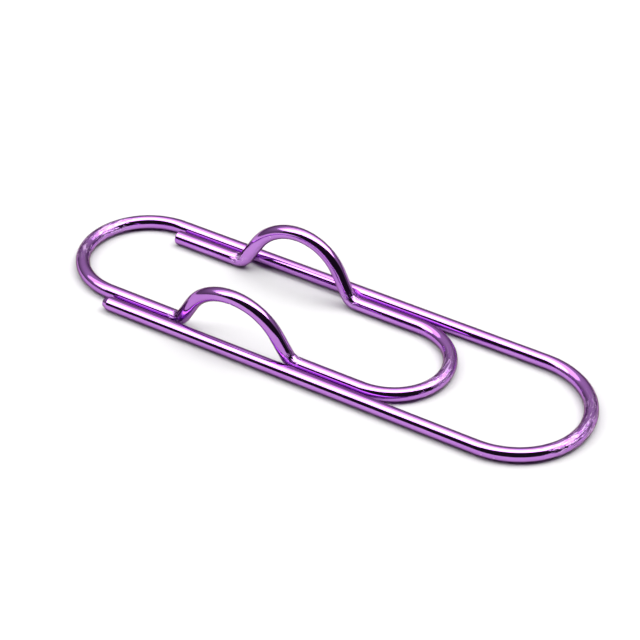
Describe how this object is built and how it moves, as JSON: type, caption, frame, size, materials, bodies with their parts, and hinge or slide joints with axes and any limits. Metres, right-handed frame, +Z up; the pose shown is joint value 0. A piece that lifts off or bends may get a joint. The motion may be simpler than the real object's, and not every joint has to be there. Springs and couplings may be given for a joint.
{
  "type": "pen clip",
  "caption": "Spring-wire clip that slides onto paper like a paper clip; arches in its inner tongue hold a pen across it.",
  "frame": {"origin": "middle of the clip's length and width, on the surface that it lies on", "axes": "+X from the heel to the end bend, along the clip; +Y across it, to the rear rail; +Z up"},
  "size_m": [0.06, 0.0172, 0.0071],
  "materials": {
    "plated_wire": "bright purple plating on steel wire"
  },
  "bodies": {
    "outer_loop": {"outer_rear_rail": "plated_wire", "end_bend_rear": "plated_wire", "heel_bend_rear": "plated_wire"},
    "front_rail": {"outer_front_rail": "plated_wire", "end_bend_front": "plated_wire"},
    "tongue": {"heel_bend_front": "plated_wire", "tongue_lead_leg": "plated_wire", "front_arch_heel_foot": "plated_wire", "front_arch_heel_shank": "plated_wire", "front_pen_arch": "plated_wire", "front_arch_nose_shank": "plated_wire", "front_arch_nose_foot": "plated_wire", "tongue_front_rail": "plated_wire", "nose_bend_front": "plated_wire"},
    "tail": {"nose_bend_rear": "plated_wire", "tongue_rear_rail": "plated_wire", "rear_arch_nose_foot": "plated_wire", "rear_arch_nose_shank": "plated_wire", "rear_pen_arch": "plated_wire", "rear_arch_heel_shank": "plated_wire", "rear_arch_heel_foot": "plated_wire", "tail_leg": "plated_wire"}
  },
  "joints": [
    {"name": "tongue_lift", "type": "hinge", "parent": "outer_loop", "child": "tongue", "pos_m": [-0.02925, 0.0009, 0.00075], "axis": [0, -1, 0], "range_deg": [0, 12], "stiffness_Nm_per_rad": 1},
    {"name": "front_rail_flex", "type": "hinge", "parent": "outer_loop", "child": "front_rail", "pos_m": [0.02925, 0, 0.00075], "axis": [0, 1, 0], "range_deg": [0, 4], "stiffness_Nm_per_rad": 1.2},
    {"name": "tail_flex", "type": "hinge", "parent": "tongue", "child": "tail", "pos_m": [0.01378, 0, 0.00075], "axis": [0, 1, 0], "range_deg": [0, 4], "stiffness_Nm_per_rad": 1.2}
  ]
}
